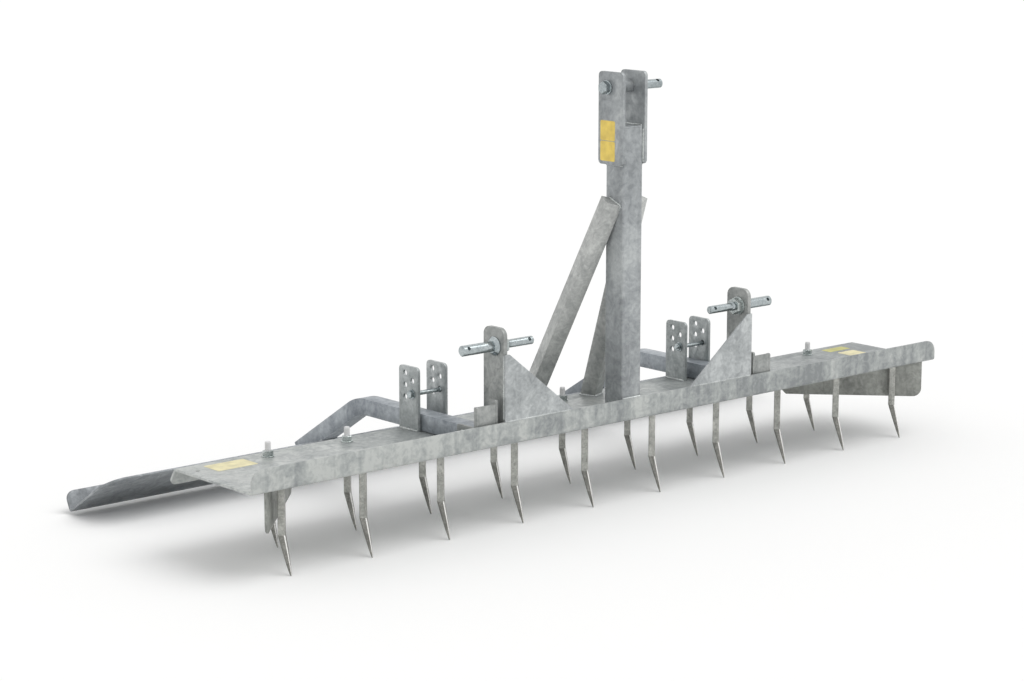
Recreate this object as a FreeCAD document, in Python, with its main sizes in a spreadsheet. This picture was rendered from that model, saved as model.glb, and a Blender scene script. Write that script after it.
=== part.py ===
import FreeCAD, Part
import math
import os
import re
import Sketcher

# Arena leveller for a tractor's three-point linkage: a folded main beam with two rows of tines,
# a headstock, two side boards, and a levelling board that swings on two arms behind the beam.
# Millimetres. X runs along the beam, Y to the rear, Z up from the ground.

SIZES = [
    # Whole machine
    ("overall_depth", 902, "front flange to the rear of the levelling board"),
    # Main beam, one folded sheet
    ("beam_length", 2500, "length of the beam"),
    ("sheet", 6, "thickness of every folded sheet"),
    ("bend", 3, "inner radius of a fold"),
    ("deck_under", 225, "underside of the deck above the ground"),
    ("deck_depth", 334, "front face to the rear fold"),
    ("flange_rise", 56, "height of the front flange above the deck"),
    ("flange_round", 35, "round of the front flange's top corners"),
    ("rear_flange", 53, "width of the rear flange"),
    ("rear_fold", 57, "angle of the rear flange below level"),
    ("rear_round", 20, "round of the rear flange's end corners"),
    ("drain_hole", 12, "bore of the small holes at the deck's left end"),
    # Tines
    ("tine_pitch", 250, "distance between tines in a row"),
    ("tine_front_count", 10, "tines in the front row"),
    ("tine_front_y", 57, "front row's distance from the front face"),
    ("tine_rear_y", 287, "rear row's distance from the front face"),
    ("tine_bar", 16, "square bar of a tine"),
    ("tine_bend", 97, "height of the bend"),
    ("tine_rake", 20, "forward lean below the bend"),
    ("tine_neck", 26, "height where the point starts"),
    ("tine_waist", 13, "bar width where the point starts"),
    ("tine_tip", 4, "bar width at the tip"),
    ("stud", 16, "diameter of the threaded top"),
    ("stud_rise", 39, "stud above the deck"),
    ("bolt_clearance", 0.5, "radial clearance of a bolt hole"),
    # Headstock
    ("mast_width", 70, "square tube of the mast"),
    ("mast_wall", 5, "wall of the mast"),
    ("mast_round", 6, "outer corner of the mast tube"),
    ("mast_rise", 784, "mast above the deck"),
    ("cap", 5, "thickness of the mast's cap"),
    ("ear", 10, "thickness of a top link ear"),
    ("ear_front", 4, "front edge of the ears"),
    ("ear_depth", 94, "depth of the ears"),
    ("ear_lap", 98, "ears over the sides of the mast"),
    ("ear_rise", 148, "ears above the top of the mast"),
    ("ear_round", 12, "corner of the ears"),
    ("top_pin", 25, "diameter of the top link pin"),
    ("top_pin_y", 64, "top link pin's distance from the front face"),
    ("top_pin_rise", 106, "top link pin above the top of the mast"),
    ("top_pin_reach", 103, "pin beyond the right ear"),
    ("top_pin_head", 30, "head across flats"),
    ("top_pin_head_rise", 16, "thickness of the head"),
    ("top_washer", 38, "diameter of the washer under the head"),
    ("washer", 4, "thickness of the large washers"),
    ("sleeve", 34, "outer diameter of the spacer sleeve"),
    ("pin_clearance", 0.2, "radial clearance of a fixed pin"),
    ("end_clearance", 0.3, "gap at the ends of a loose sleeve"),
    ("brace", 45, "square tube of a brace"),
    ("brace_wall", 4, "wall of a brace and its closed head"),
    ("brace_turn", 36, "turn of a brace's tube about its own line"),
    ("brace_foot_x", 120, "foot of a brace from the middle"),
    ("brace_foot_y", 300, "foot of a brace from the front face"),
    ("brace_head_x", 45, "head of a brace from the middle"),
    ("brace_head_y", 44, "head of a brace from the front face"),
    ("brace_head_rise", 590, "head of a brace above the deck"),
    # Lower link brackets
    ("bracket_face", 455, "outer face of a bracket from the middle"),
    ("bracket", 12, "thickness of a bracket"),
    ("bracket_depth", 81, "depth of a bracket"),
    ("bracket_rise", 300, "bracket above the deck"),
    ("bracket_round", 22, "top corner of a bracket"),
    ("gusset_inner", 217, "inner corner of a gusset from the middle"),
    ("gusset_rise", 176, "gusset above the flange"),
    ("gusset_land", 16, "width of a gusset's top"),
    ("link_pin", 28, "diameter of a lower link pin's outer end"),
    ("link_pin_small", 22, "diameter of its inner end"),
    ("link_thread", 24, "diameter of its thread, under the nut"),
    ("link_pin_y", 43, "pin's distance from the front face"),
    ("link_pin_z", 482, "height of the pin"),
    ("link_pin_outer", 566, "outer end of the pin from the middle"),
    ("link_pin_inner", 327, "inner end of the pin from the middle"),
    ("link_collar", 50, "diameter of the pin's collar"),
    ("link_collar_width", 12, "width of the pin's collar"),
    ("link_collar_cone", 9, "slope that narrows the collar outward"),
    ("link_nut", 41, "nut across flats"),
    ("link_nut_width", 18, "thickness of the nut"),
    ("pin_chamfer", 3, "chamfer at a pin's end"),
    ("linch_hole", 10, "cross hole for a linch pin"),
    ("linch_edge", 16, "cross hole from the pin's end"),
    # Arm pivots
    ("lug", 8, "thickness of the pivot lugs and stop bars"),
    ("lug_inner", 535, "inner face of an outer lug from the middle"),
    ("lug_front", 10, "front of the pivot lugs and of the plate between them"),
    ("lug_depth", 80, "depth of the pivot lugs"),
    ("lug_rise", 51, "pivot lugs above the deck"),
    ("lug_horn", 12, "depth of the outer lug's front horn"),
    ("lug_round", 5, "corners of a horn"),
    ("front_plate_rise", 106, "front plate and outer horn above the deck"),
    ("pivot_ear", 472, "inner face of an inner lug from the middle"),
    ("ear_horn", 30, "depth of the inner lug's front horn"),
    ("ear_horn_rise", 117, "inner horn above the deck"),
    ("pivot_pin", 20, "diameter of a pivot pin"),
    ("pivot_y", 60, "pivot's distance from the front face"),
    ("pivot_z", 255.5, "height of the pivot"),
    ("pivot_head", 32, "diameter of a pivot pin's head"),
    ("pivot_head_rise", 6, "thickness of the head"),
    ("running_fit", 0.1, "radial clearance of the turning bore"),
    ("boss", 30, "outer diameter of an arm's pivot bush"),
    ("boss_gap", 1, "gap at each end of the bush"),
    # Arms
    ("arm_x", 507.5, "middle of an arm from the middle of the beam"),
    ("arm_width", 50, "width of the box tube"),
    ("arm_height", 45, "height of the box tube"),
    ("arm_wall", 4, "wall of the box tube"),
    ("arm_bend", 100, "inner radius of an arm's bend"),
    ("arm_lap", 120, "length of an arm on the board"),
    # Stop bars
    ("stop_inner", 442, "inner face of the inner stop bar from the middle"),
    ("stop_front", 250, "front edge of the stop bars"),
    ("stop_depth", 80, "depth of the stop bars"),
    ("stop_rise", 171, "stop bars above the deck"),
    ("stop_round", 12, "top corner of the stop bars"),
    ("stop_bolt", 12, "diameter of the stop bolt"),
    ("stop_hole", 16, "holes for the stop bolt"),
    ("stop_column", 25, "hole columns from the bars' front and rear edges"),
    ("stop_hole_front", 98, "lowest front hole above the deck"),
    ("stop_hole_rear", 87, "lowest rear hole above the deck"),
    ("stop_step_front", 35, "step between the front holes"),
    ("stop_step_rear", 32, "step between the rear holes"),
    ("stop_head", 19, "stop bolt's head across flats"),
    ("stop_head_rise", 8, "thickness of the head and of the nut"),
    ("stop_washer", 26, "diameter of the stop bolt's washers"),
    ("stop_washer_rise", 2.5, "thickness of the stop bolt's washers"),
    ("stop_tail", 6, "stop bolt beyond its nut"),
    # Side boards
    ("side_inset", 45, "outer end of a side board from the beam's end"),
    ("side_y", 10, "outer end of a side board from the front face"),
    ("side_length", 435, "length of a side board"),
    ("side_drop", 107, "height of a side board"),
    ("side_angle", 46, "toe-in of a side board"),
    ("side_round", 25, "front bottom corner"),
    ("side_chamfer", 30, "rear bottom corner"),
    # Levelling board
    ("board_inset", 20, "end of the levelling board from the beam's end"),
    ("board_lift", 9, "board above the ground while the arms rest near the deck"),
    ("board_wall", 226, "width of the sloping wall"),
    ("board_slope", 32, "slope of the wall"),
    ("board_round", 60, "top end corners of the wall"),
    ("lip_rise", 57, "height of the rear lip"),
    ("lip_slope", 64, "slope of the rear lip"),
    ("lip_round", 25, "end corners of the lip"),
    ("board_bend", 4, "inner radius of the board's fold"),
]

doc = FreeCAD.newDocument("arena_leveller")
sheet = doc.addObject("Spreadsheet::Sheet", "Sizes")
for row, (alias, value, meaning) in enumerate(SIZES, start=1):
    sheet.set("A%d" % row, meaning)
    sheet.set("B%d" % row, str(value))
    sheet.setAlias("B%d" % row, alias)
doc.recompute()

ALIASES = {alias for alias, value, meaning in SIZES}
SIDES = (("left", -1), ("right", 1))
AXES = {"x": (1, 0, 0), "y": (0, 1, 0), "z": (0, 0, 1)}
nodes = []


def formula(text):
    """Write a formula of plain size names as an expression on the sheet."""
    return re.sub(r"[a-z]\w*", lambda m: "Sizes." + m[0] if m[0] in ALIASES else m[0], str(text))


def size(text):
    """Work a formula out now, in millimetres or degrees."""
    value = sheet.evalExpression(formula(text))
    return float(getattr(value, "Value", value))


def bind(thing, prop, text):
    thing.setExpression(prop, formula(text))


# Sub-parts and their features

def place(thing, x, y, z):
    """Put a sub-part at a point whose Y counts from the front flange's face."""
    bind(thing, "Placement.Base.x", x)
    bind(thing, "Placement.Base.y", "%s - overall_depth / 2" % y)
    bind(thing, "Placement.Base.z", z)


def turned(thing, axis, degrees):
    """Turn a sub-part about an axis through its own origin."""
    for name, part in zip("xyz", AXES[axis]):
        bind(thing, "Placement.Rotation.Axis." + name, part)
    bind(thing, "Placement.Rotation.Angle", degrees)


def new_body(label, x=0, y=0, z=0):
    piece = doc.addObject("PartDesign::Body", label)
    piece.Label = label
    place(piece, x, y, z)
    nodes.append(piece)
    return piece


def new_sketch(piece, plane, offset=0):
    """Attach a sketch to one of the body's own planes, moved along the plane's normal."""
    sketch = piece.newObject("Sketcher::SketchObject", piece.Name + "_sketch")
    support = next(f for f in piece.Origin.OriginFeatures if f.Role == plane + "_Plane")
    sketch.AttachmentSupport = [(support, "")]
    sketch.MapMode = "FlatFace"
    bind(sketch, "AttachmentOffset.Base.z", offset)
    return sketch


def outline(sketch, corners):
    """Draw a closed outline, each corner held by its own pair of formulas."""
    first = sketch.GeometryCount
    count = len(corners)
    points = [FreeCAD.Vector(size(u), size(v), 0) for u, v in corners]
    for k in range(count):
        sketch.addGeometry(Part.LineSegment(points[k], points[(k + 1) % count]), False)
    for k in range(count):
        here = first + k
        after = first + (k + 1) % count
        sketch.addConstraint(Sketcher.Constraint("Coincident", here, 2, after, 1))
        hold_point(sketch, here, 1, corners[k])


def hold_point(sketch, element, end, corner):
    for direction, text in zip(("DistanceX", "DistanceY"), corner):
        rule = Sketcher.Constraint(direction, -1, 1, element, end, size(text))
        bind(sketch, "Constraints[%d]" % sketch.addConstraint(rule), text)


def ring(sketch, centre, diameter):
    """Draw a circle held by its centre and diameter."""
    middle = FreeCAD.Vector(size(centre[0]), size(centre[1]), 0)
    circle = Part.Circle(middle, FreeCAD.Vector(0, 0, 1), size(diameter) / 2)
    element = sketch.addGeometry(circle, False)
    hold_point(sketch, element, 3, centre)
    rule = Sketcher.Constraint("Diameter", element, size(diameter))
    bind(sketch, "Constraints[%d]" % sketch.addConstraint(rule), diameter)


def rectangle(sketch, left, right, bottom, top):
    outline(sketch, [(left, bottom), (right, bottom), (right, top), (left, top)])


def hexagon(sketch, centre, flats):
    """Draw a hexagon by its width across flats."""
    corner = "%s / sqrt(3)" % flats
    outline(sketch, [("%s + %s * cos(%d)" % (centre[0], corner, turn),
                      "%s + %s * sin(%d)" % (centre[1], corner, turn))
                     for turn in range(0, 360, 60)])


def pad(sketch, length, both_ways=False):
    """Extrude along the plane's normal, or half each way."""
    piece = sketch.getParentGeoFeatureGroup()
    feature = piece.newObject("PartDesign::Pad", piece.Name + "_pad")
    feature.Profile = sketch
    feature.Midplane = both_ways
    bind(feature, "Length", length)
    sketch.Visibility = False
    doc.recompute()
    return feature


def drill(sketch):
    """Cut the sketch's outlines right through the body, both ways."""
    piece = sketch.getParentGeoFeatureGroup()
    feature = piece.newObject("PartDesign::Pocket", piece.Name + "_hole")
    feature.Profile = sketch
    feature.Type = "ThroughAll"
    feature.Midplane = True
    sketch.Visibility = False
    doc.recompute()
    return feature


def soften(piece, radius, chosen, kind="Fillet"):
    """Round or chamfer the edges of the body's last feature that the test picks."""
    base = piece.Tip
    names = ["Edge%d" % (k + 1) for k, edge in enumerate(base.Shape.Edges) if chosen(edge)]
    feature = piece.newObject("PartDesign::" + kind, piece.Name + "_" + kind.lower())
    feature.Base = (base, names)
    bind(feature, "Radius" if kind == "Fillet" else "Size", radius)
    doc.recompute()
    return feature


def runs_along(edge, axis):
    """Tell whether a straight edge is parallel to an axis."""
    if edge.Curve.TypeId != "Part::GeomLine":
        return False
    return abs(edge.Curve.Direction.dot(FreeCAD.Vector(*AXES[axis]))) > 0.999


def passes(edge, **at):
    """Tell whether an edge's middle lies at the given coordinates."""
    middle = edge.CenterOfMass
    return all(abs(getattr(middle, name) - size(value)) < 0.01 for name, value in at.items())


DECK_TOP = "(deck_under + sheet)"
FLANGE_TOP = "(deck_under + sheet + flange_rise)"
TINE_REAR_COUNT = "(tine_front_count - 1)"


# Main beam

def tine_x(index, count):
    return "((%d - (%s - 1) / 2) * tine_pitch)" % (index, count)


def main_beam():
    """Folded sheet: front flange up, deck, rear flange down and back."""
    beam = new_body("main_beam")
    section = new_sketch(beam, "YZ")
    end = ("(deck_depth + rear_flange * cos(rear_fold))",
           "(%s - rear_flange * sin(rear_fold))" % DECK_TOP)
    inner_end = (end[0] + " - sheet * sin(rear_fold)", end[1] + " - sheet * cos(rear_fold)")
    inner_fold = "deck_depth - sheet * tan(rear_fold / 2)"
    outline(section, [("0", FLANGE_TOP), ("0", "deck_under"), (inner_fold, "deck_under"),
                      inner_end, end, ("deck_depth", DECK_TOP), ("sheet", DECK_TOP),
                      ("sheet", FLANGE_TOP)])
    pad(section, "beam_length", both_ways=True)
    outer = [{"y": "0", "z": "deck_under"}, {"y": "deck_depth", "z": DECK_TOP}]
    inner = [{"y": "sheet", "z": DECK_TOP}, {"y": inner_fold, "z": "deck_under"}]
    soften(beam, "bend + sheet", lambda edge: any(passes(edge, **at) for at in outer))
    soften(beam, "bend", lambda edge: any(passes(edge, **at) for at in inner))
    tip_x = size("beam_length / 2")
    flange_z = size(FLANGE_TOP)
    soften(beam, "flange_round", lambda edge: runs_along(edge, "y")
           and abs(abs(edge.CenterOfMass.x) - tip_x) < 0.01
           and abs(edge.CenterOfMass.z - flange_z) < 0.01)
    rear = FreeCAD.Vector(0, size(end[0] + " - sheet / 2 * sin(rear_fold)"),
                          size(end[1] + " - sheet / 2 * cos(rear_fold)"))
    soften(beam, "rear_round", lambda edge: abs(edge.Length - size("sheet")) < 0.01
           and abs(abs(edge.CenterOfMass.x) - tip_x) < 0.01
           and abs(edge.CenterOfMass.y - rear.y) < 0.1
           and abs(edge.CenterOfMass.z - rear.z) < 0.1)
    holes = new_sketch(beam, "XY", "deck_under")
    for count, row_y in (("tine_front_count", "tine_front_y"), (TINE_REAR_COUNT, "tine_rear_y")):
        for index in range(round(size(count))):
            ring(holes, (tine_x(index, count), row_y), "stud + 2 * bolt_clearance")
    for from_end, y in DRAIN_HOLES:
        ring(holes, ("%s - beam_length / 2" % from_end, y), "drain_hole")
    drill(holes)


# Distance from the left end and from the front face
DRAIN_HOLES = ((30, 275), (95, 275))


def tine(label, x, y, thread_length):
    """Square bar with a threaded top, bent forward and drawn down to a faceted point."""
    piece = new_body(label, x, y)
    shank = new_sketch(piece, "XY", "tine_bend")
    rectangle(shank, "-tine_bar / 2", "tine_bar / 2", "-tine_bar / 2", "tine_bar / 2")
    pad(shank, "deck_under - tine_bend")
    thread = new_sketch(piece, "XY", "deck_under")
    ring(thread, ("0", "0"), "stud")
    pad(thread, thread_length)
    sections = []
    for height, width in (("tine_bend", "tine_bar"), ("tine_neck", "tine_waist"), ("0", "tine_tip")):
        lean = "(%s - tine_bend) * tan(tine_rake)" % height
        cut = new_sketch(piece, "XY", height)
        rectangle(cut, "-%s / 2" % width, "%s / 2" % width,
                  "%s - %s / 2" % (lean, width), "%s + %s / 2" % (lean, width))
        sections.append(cut)
    point = piece.newObject("PartDesign::AdditiveLoft", label + "_point")
    point.Profile = sections[0]
    point.Sections = sections[1:]
    point.Ruled = True
    for cut in sections:
        cut.Visibility = False
    doc.recompute()


def tines():
    rows = (("front", "tine_front_count", "tine_front_y"), ("rear", TINE_REAR_COUNT, "tine_rear_y"))
    for row, count, row_y in rows:
        for index in range(round(size(count))):
            x = tine_x(index, count)
            # The arms leave no room for a nut over the two tines below them
            from_arm = abs(abs(size(x)) - size("arm_x"))
            below_arm = row == "rear" and from_arm < size("arm_width / 2 + stud")
            thread_length = "sheet" if below_arm else "sheet + stud_rise"
            tine("tine_%s_%02d" % (row, index + 1), x, row_y, thread_length)


# Plates that stand on edge along Y, pads along X

def upright(label, sign, inner, thickness, corners):
    """Plate in the YZ plane whose inner face lies the given distance from the middle."""
    start = inner if sign > 0 else "-(%s) - (%s)" % (inner, thickness)
    piece = new_body(label)
    profile = new_sketch(piece, "YZ", start)
    outline(profile, corners)
    pad(profile, thickness)
    return piece


def bore(piece, plane, centre, diameter):
    hole = new_sketch(piece, plane)
    ring(hole, centre, diameter)
    drill(hole)


def round_corners(piece, axis, radius, *corners):
    """Round the edges along an axis that pass through the given corners."""
    soften(piece, radius, lambda edge: runs_along(edge, axis)
           and any(passes(edge, **at) for at in corners))


# Headstock

MAST_TOP = "(deck_under + sheet + mast_rise)"
# The tube stands just behind the flange's fold
MAST_Y = "sheet + bend + mast_width / 2"


def mast():
    tube = new_body("mast", 0, MAST_Y)
    section = new_sketch(tube, "XY", DECK_TOP)
    rectangle(section, "-mast_width / 2", "mast_width / 2", "-mast_width / 2", "mast_width / 2")
    hollow = "(mast_width / 2 - mast_wall)"
    rectangle(section, "-" + hollow, hollow, "-" + hollow, hollow)
    pad(section, "mast_rise")
    half = size("mast_width / 2")
    soften(tube, "mast_round", lambda edge: runs_along(edge, "z")
           and abs(abs(edge.CenterOfMass.x) - half) < 0.01)
    lid = new_body("mast_cap", 0, MAST_Y, MAST_TOP)
    top = new_sketch(lid, "XY")
    rectangle(top, "-mast_width / 2", "mast_width / 2", "-mast_width / 2", "mast_width / 2")
    pad(top, "cap")
    soften(lid, "mast_round", lambda edge: runs_along(edge, "z"))


TOP_PIN_Z = MAST_TOP + " + top_pin_rise"


def ears():
    front, back = "ear_front", "(ear_front + ear_depth)"
    foot, top = MAST_TOP + " - ear_lap", MAST_TOP + " + ear_rise"
    for side, sign in SIDES:
        plate = upright("ear_" + side, sign, "mast_width / 2", "ear",
                        [(front, foot), (back, foot), (back, top), (front, top)])
        soften(plate, "ear_round", lambda edge: runs_along(edge, "x"))
        bore(plate, "YZ", ("top_pin_y", TOP_PIN_Z), "top_pin + 2 * pin_clearance")


def top_link_pin():
    """Headed pin with a washer at the left and a cross hole at the right."""
    pin = new_body("top_link_pin", 0, "top_pin_y", TOP_PIN_Z)
    ear_face = "(mast_width / 2 + ear)"
    shaft = new_sketch(pin, "YZ", "-%s - washer" % ear_face)
    ring(shaft, ("0", "0"), "top_pin")
    pad(shaft, "2 * %s + washer + top_pin_reach" % ear_face)
    collar = new_sketch(pin, "YZ", "-%s - washer" % ear_face)
    ring(collar, ("0", "0"), "top_washer")
    pad(collar, "washer")
    head = new_sketch(pin, "YZ", "-%s - washer - top_pin_head_rise" % ear_face)
    hexagon(head, ("0", "0"), "top_pin_head")
    pad(head, "top_pin_head_rise")
    tip = size("%s + top_pin_reach" % ear_face)
    soften(pin, "pin_chamfer", lambda edge: edge.Curve.TypeId == "Part::GeomCircle"
           and abs(edge.CenterOfMass.x - tip) < 0.01, kind="Chamfer")
    bore(pin, "XY", ("%s + top_pin_reach - linch_edge" % ear_face, "0"), "linch_hole")
    tube = new_body("spacer_sleeve", 0, "top_pin_y", TOP_PIN_Z)
    section = new_sketch(tube, "YZ")
    ring(section, ("0", "0"), "sleeve")
    ring(section, ("0", "0"), "top_pin + 2 * pin_clearance")
    pad(section, "mast_width - 2 * end_clearance", both_ways=True)


def braces():
    """Square tubes from the mast's sides down and back to the deck, cut to fit both."""
    for side, sign in SIDES:
        foot = FreeCAD.Vector(sign * size("brace_foot_x"), size("brace_foot_y"), size(DECK_TOP))
        head = FreeCAD.Vector(sign * size("brace_head_x"), size("brace_head_y"),
                              size(DECK_TOP + " + brace_head_rise"))
        along = (head - foot).normalize()
        across = FreeCAD.Vector(along.y, -along.x, 0)
        turn = FreeCAD.Rotation(across, FreeCAD.Vector(), along, "ZXY")
        own_turn = FreeCAD.Rotation(FreeCAD.Vector(0, 0, 1), sign * size("brace_turn"))
        start = foot - along * size("2 * brace")
        label = "brace_" + side
        tubes = []
        for name, inset in (("outer", "0"), ("inner", "brace_wall")):
            block = doc.addObject("Part::Box", label + "_" + name)
            width = "brace - 2 * " + inset
            bind(block, "Length", width)
            bind(block, "Width", width)
            block.Height = (head - start).Length - size(inset)
            half = size(width) / 2
            block.Placement = (FreeCAD.Placement(start, turn * own_turn) * FreeCAD.Placement(
                FreeCAD.Vector(-half, -half, 0), FreeCAD.Rotation()))
            tubes.append(block)
        tube = doc.addObject("Part::Cut", label + "_tube")
        tube.Base, tube.Tool = tubes
        # What lies outside the mast's side and above the deck is kept
        room = doc.addObject("Part::Box", label + "_room")
        for prop in ("Length", "Width"):
            bind(room, prop, "2 * deck_depth")
        bind(room, "Height", "mast_rise")
        bind(room, "Placement.Base.x", "mast_width / 2" if sign > 0
             else "-mast_width / 2 - 2 * deck_depth")
        bind(room, "Placement.Base.y", "-deck_depth / 2")
        bind(room, "Placement.Base.z", DECK_TOP)
        piece = doc.addObject("Part::Common", label)
        piece.Label = label
        piece.Base, piece.Tool = tube, room
        place(piece, 0, 0, 0)
        nodes.append(piece)
    doc.recompute()


# Lower link brackets

def link_brackets():
    front, back = "sheet", "(sheet + bracket_depth)"
    top = "(%s + bracket_rise)" % DECK_TOP
    cut = "(bend + pin_clearance)"
    for side, sign in SIDES:
        plate = upright("link_bracket_" + side, sign, "bracket_face - bracket", "bracket",
                        [(front, DECK_TOP + " + " + cut), (front + " + " + cut, DECK_TOP),
                         (back, DECK_TOP), (back, top), (front, top)])
        round_corners(plate, "x", "bracket_round", {"y": front, "z": top}, {"y": back, "z": top})
        bore(plate, "YZ", ("link_pin_y", "link_pin_z"), "link_pin + 2 * pin_clearance")
        bore(plate, "YZ", ("pivot_y", "pivot_z"), "pivot_pin + 2 * pin_clearance")


def gussets():
    """Three-cornered plates on the flange's edge, inside each bracket."""
    for side, sign in SIDES:
        plate = new_body("gusset_" + side)
        profile = new_sketch(plate, "XZ", "-sheet")
        top = FLANGE_TOP + " + gusset_rise"
        outline(profile, [("%d * gusset_inner" % sign, FLANGE_TOP),
                          ("%d * bracket_face" % sign, FLANGE_TOP),
                          ("%d * bracket_face" % sign, top),
                          ("%d * (bracket_face - gusset_land)" % sign, top)])
        pad(profile, "sheet")


def link_pins():
    """Stepped pins: thick outer end, thin inner end, collar, cross holes, and a nut inside."""
    inner_face = "(bracket_face - bracket)"
    nut_face = "(%s - washer - link_nut_width)" % inner_face
    for side, sign in SIDES:
        pin = new_body("link_pin_" + side, 0, "link_pin_y", "link_pin_z")
        turned(pin, "z", 0 if sign > 0 else 180)
        steps = (("link_pin_inner", "link_pin_small", nut_face),
                 (nut_face, "link_thread", inner_face),
                 (inner_face, "link_pin", "link_pin_outer"),
                 ("bracket_face", "link_collar", "(bracket_face + link_collar_width)"))
        for start, diameter, end in steps:
            section = new_sketch(pin, "YZ", start)
            ring(section, ("0", "0"), diameter)
            pad(section, "%s - %s" % (end, start))
        ends = (size("link_pin_inner"), size("link_pin_outer"))
        soften(pin, "pin_chamfer", lambda edge: edge.Curve.TypeId == "Part::GeomCircle"
               and min(abs(edge.CenterOfMass.x - end) for end in ends) < 0.01, kind="Chamfer")
        soften(pin, "link_collar_cone", lambda edge: edge.Curve.TypeId == "Part::GeomCircle"
               and passes(edge, x="bracket_face + link_collar_width")
               and edge.Curve.Radius > size("link_pin / 2") + 0.1, kind="Chamfer")
        holes = new_sketch(pin, "XY")
        for x in ("link_pin_inner + linch_edge", "link_pin_outer - linch_edge"):
            ring(holes, (x, "0"), "linch_hole")
        drill(holes)
        nut = new_body("link_nut_" + side, 0, "link_pin_y", "link_pin_z")
        turned(nut, "z", 0 if sign > 0 else 180)
        hole = "link_thread + 2 * pin_clearance"
        disc = new_sketch(nut, "YZ", inner_face + " - washer")
        ring(disc, ("0", "0"), "link_collar")
        ring(disc, ("0", "0"), hole)
        pad(disc, "washer")
        block = new_sketch(nut, "YZ", nut_face)
        hexagon(block, ("0", "0"), "link_nut")
        ring(block, ("0", "0"), hole)
        pad(block, "link_nut_width")


# Arm pivots and stops

EAR_FACE = "(pivot_ear + lug)"


def arm_pivots():
    """Two lugs with a horn in front, a plate between them, and the pin through them."""
    lug_back = "(lug_front + lug_depth)"
    top = "(%s + lug_rise)" % DECK_TOP
    lug_face = "(lug_inner + lug)"
    inner_face = "(bracket_face - bracket)"
    lugs = (("pivot_lug_", "lug_inner", "lug_horn", "front_plate_rise"),
            ("pivot_ear_", "pivot_ear", "ear_horn", "ear_horn_rise"))
    for side, sign in SIDES:
        for label, inner, horn, horn_rise in lugs:
            horn_back, horn_top = "(lug_front + %s)" % horn, "(%s + %s)" % (DECK_TOP, horn_rise)
            lug = upright(label + side, sign, inner, "lug",
                          [("lug_front", DECK_TOP), (lug_back, DECK_TOP), (lug_back, top),
                           (horn_back, top), (horn_back, horn_top), ("lug_front", horn_top)])
            round_corners(lug, "x", "lug_round", {"y": lug_back, "z": top},
                          {"y": horn_back, "z": horn_top}, {"y": "lug_front", "z": horn_top})
            bore(lug, "YZ", ("pivot_y", "pivot_z"), "pivot_pin + 2 * pin_clearance")
        plate = new_body("pivot_plate_" + side)
        face = new_sketch(plate, "XZ", "-lug_front - sheet")
        ends = sorted(("%d * %s" % (sign, EAR_FACE), "%d * lug_inner" % sign), key=size)
        rectangle(face, ends[0], ends[1], DECK_TOP, DECK_TOP + " + front_plate_rise")
        pad(face, "sheet")
        pin = new_body("pivot_pin_" + side, 0, "pivot_y", "pivot_z")
        turned(pin, "z", 0 if sign > 0 else 180)
        shaft = new_sketch(pin, "YZ", inner_face + " - pivot_head_rise")
        ring(shaft, ("0", "0"), "pivot_pin")
        pad(shaft, "%s - %s + pivot_head_rise" % (lug_face, inner_face))
        head = new_sketch(pin, "YZ", lug_face)
        ring(head, ("0", "0"), "pivot_head")
        pad(head, "pivot_head_rise")


def stop_bars():
    """Pairs of flat bars with zigzag holes, and the bolt that stops the arm between them."""
    back = "stop_front + stop_depth"
    top = "(%s + stop_rise)" % DECK_TOP
    front_column = "(stop_front + stop_column)"
    rear_column = "(%s - stop_column)" % back
    holes = [(front_column, "%s + stop_hole_front + %d * stop_step_front" % (DECK_TOP, k))
             for k in range(2)]
    holes += [(rear_column, "%s + stop_hole_rear + %d * stop_step_rear" % (DECK_TOP, k))
              for k in range(3)]
    for side, sign in SIDES:
        for place_name, inner in (("inner", "stop_inner"), ("outer", "lug_inner")):
            bar = upright("stop_bar_%s_%s" % (place_name, side), sign, inner, "lug",
                          [("stop_front", DECK_TOP), (back, DECK_TOP), (back, top),
                           ("stop_front", top)])
            round_corners(bar, "x", "stop_round", {"y": "stop_front", "z": top},
                          {"y": back, "z": top})
            zigzag = new_sketch(bar, "YZ")
            for centre in holes:
                ring(zigzag, centre, "stop_hole")
            drill(zigzag)
        bolt = new_body("stop_bolt_" + side, 0, front_column, holes[0][1])
        turned(bolt, "z", 0 if sign > 0 else 180)
        bar_face = "(lug_inner + lug)"
        inner_end = "(stop_inner - stop_washer_rise - stop_head_rise - stop_tail)"
        shaft = new_sketch(bolt, "YZ", inner_end)
        ring(shaft, ("0", "0"), "stop_bolt")
        pad(shaft, "%s - %s" % (bar_face, inner_end))
        rings = ((bar_face, "stop_washer_rise"),
                 ("(stop_inner - stop_washer_rise)", "stop_washer_rise"))
        for start, width in rings:
            disc = new_sketch(bolt, "YZ", start)
            ring(disc, ("0", "0"), "stop_washer")
            pad(disc, width)
        for start in (bar_face + " + stop_washer_rise",
                      "(stop_inner - stop_washer_rise - stop_head_rise)"):
            block = new_sketch(bolt, "YZ", start)
            hexagon(block, ("0", "0"), "stop_head")
            pad(block, "stop_head_rise")


# Side boards

def side_boards():
    """Upright plates under the deck's ends, toed in to the rear."""
    for side, sign in SIDES:
        outer_end = "%d * (beam_length / 2 - side_inset)" % sign
        board = new_body("side_board_" + side, outer_end, "side_y", "deck_under")
        turned(board, "z", "180 - side_angle" if sign > 0 else "side_angle")
        face = new_sketch(board, "XZ")
        outline(face, [("0", "0"), ("0", "-side_drop"),
                       ("side_length - side_chamfer", "-side_drop"),
                       ("side_length", "side_chamfer - side_drop"), ("side_length", "0")])
        pad(face, "sheet", both_ways=True)
        round_corners(board, "y", "side_round", {"x": "0", "z": "-side_drop"})


# Levelling board and its arms

HALF_FOLD = "((180 - board_slope - lip_slope) / 2)"
FOLD_LINE = "(lip_slope + %s)" % HALF_FOLD
FOLD_OUTER = "(board_bend + sheet)"
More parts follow.
